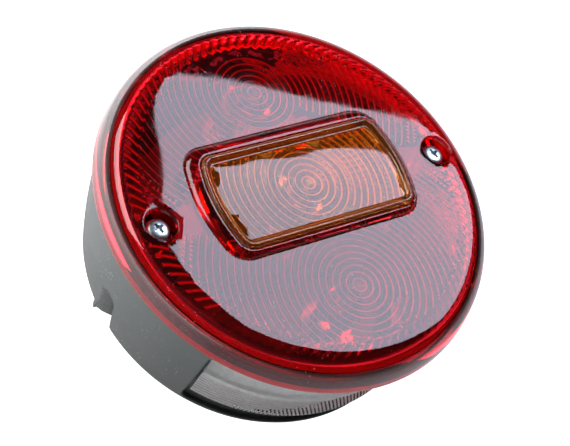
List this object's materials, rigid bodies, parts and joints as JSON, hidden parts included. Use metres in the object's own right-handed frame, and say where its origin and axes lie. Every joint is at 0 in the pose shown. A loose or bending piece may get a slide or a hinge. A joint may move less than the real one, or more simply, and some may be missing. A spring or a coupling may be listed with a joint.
{
  "type": "trailer tail light",
  "caption": "Round rear lamp for a trailer: drum housing, domed red lens with a raised amber indicator window, and a clear number plate window in the side wall.",
  "frame": {"origin": "centre of the flat rear mounting face; the lamp lies on its back", "axes": "+Z out through the lens along the optical axis, -Y towards the number plate window (down in use), +X to the right as seen from in front"},
  "size_m": [0.14, 0.14, 0.061],
  "materials": {
    "housing_plastic": "moulded black plastic, matt, dusty",
    "seal_rubber": "matt black rubber",
    "clear_plastic": "clear moulded plastic with fine ribs",
    "red_plastic": "polished transparent red plastic with prisms inside",
    "amber_plastic": "polished transparent amber plastic with ring prisms inside",
    "reflector_plastic": "white semi-gloss plastic",
    "phenolic_board": "brown laminated board",
    "brass": "pressed brass strip",
    "tinned_steel": "pressed tinned steel",
    "zinc_plating": "bright zinc plating",
    "nickel": "nickel plated brass",
    "bulb_glass": "clear blown glass"
  },
  "bodies": {
    "housing": {"housing_shell": "housing_plastic", "plate_window": "clear_plastic", "plate_window_gasket": "seal_rubber", "lens_seal": "seal_rubber", "cable_grommet": "seal_rubber", "carrier_plate": "reflector_plastic", "indicator_baffle": "reflector_plastic", "earth_strip": "brass", "thread_insert_left": "brass", "thread_insert_right": "brass", "carrier_screw_1": "zinc_plating", "carrier_screw_2": "zinc_plating", "carrier_screw_3": "zinc_plating", "carrier_screw_4": "zinc_plating", "stop_feed_strip": "brass", "stop_socket_shell": "tinned_steel", "indicator_feed_strip": "brass", "indicator_socket_shell": "tinned_steel", "tail_feed_strip": "brass", "tail_socket_shell": "tinned_steel"},
    "stop_contact": {"stop_contact_plate": "phenolic_board", "stop_contact_button": "brass"},
    "indicator_contact": {"indicator_contact_plate": "phenolic_board", "indicator_contact_button": "brass"},
    "tail_contact": {"tail_contact_plate": "phenolic_board", "tail_contact_button": "brass"},
    "stop_bulb": {"stop_bulb_glass": "bulb_glass", "stop_bulb_cap": "nickel", "stop_bulb_contact": "tinned_steel"},
    "indicator_bulb": {"indicator_bulb_glass": "bulb_glass", "indicator_bulb_cap": "nickel", "indicator_bulb_contact": "tinned_steel"},
    "tail_bulb": {"tail_bulb_glass": "bulb_glass", "tail_bulb_cap": "nickel", "tail_bulb_contact": "tinned_steel"},
    "lens": {"red_lens": "red_plastic", "amber_window": "amber_plastic", "screw_washer_left": "seal_rubber", "screw_washer_right": "seal_rubber"},
    "left_screw": {"lens_screw_left": "zinc_plating"},
    "right_screw": {"lens_screw_right": "zinc_plating"}
  },
  "joints": [
    {"name": "lens_lift", "type": "slide", "parent": "housing", "child": "lens", "axis": [0, 0, 1], "range_m": [0, 0.06]},
    {"name": "left_screw_turn", "type": "hinge", "parent": "lens", "child": "left_screw", "pos_m": [-0.0563, 0, 0.055], "axis": [0, 0, 1], "continuous": true},
    {"name": "right_screw_turn", "type": "hinge", "parent": "lens", "child": "right_screw", "pos_m": [0.0563, 0, 0.055], "axis": [0, 0, 1], "continuous": true},
    {"name": "stop_bulb_twist", "type": "hinge", "parent": "housing", "child": "stop_bulb", "pos_m": [0, 0.0385, 0.0149], "axis": [0, 0, 1], "range_deg": [0, 18]},
    {"name": "indicator_bulb_twist", "type": "hinge", "parent": "housing", "child": "indicator_bulb", "pos_m": [0, 0, 0.0149], "axis": [0, 0, 1], "range_deg": [0, 18]},
    {"name": "tail_bulb_twist", "type": "hinge", "parent": "housing", "child": "tail_bulb", "pos_m": [0, -0.0385, 0.0149], "axis": [0, 0, 1], "range_deg": [0, 18]},
    {"name": "stop_contact_press", "type": "slide", "parent": "housing", "child": "stop_contact", "axis": [0, 0, 1], "range_m": [-0.0012, 0], "stiffness_N_per_m": 1000},
    {"name": "indicator_contact_press", "type": "slide", "parent": "housing", "child": "indicator_contact", "axis": [0, 0, 1], "range_m": [-0.0012, 0], "stiffness_N_per_m": 1000},
    {"name": "tail_contact_press", "type": "slide", "parent": "housing", "child": "tail_contact", "axis": [0, 0, 1], "range_m": [-0.0012, 0], "stiffness_N_per_m": 1000}
  ]
}
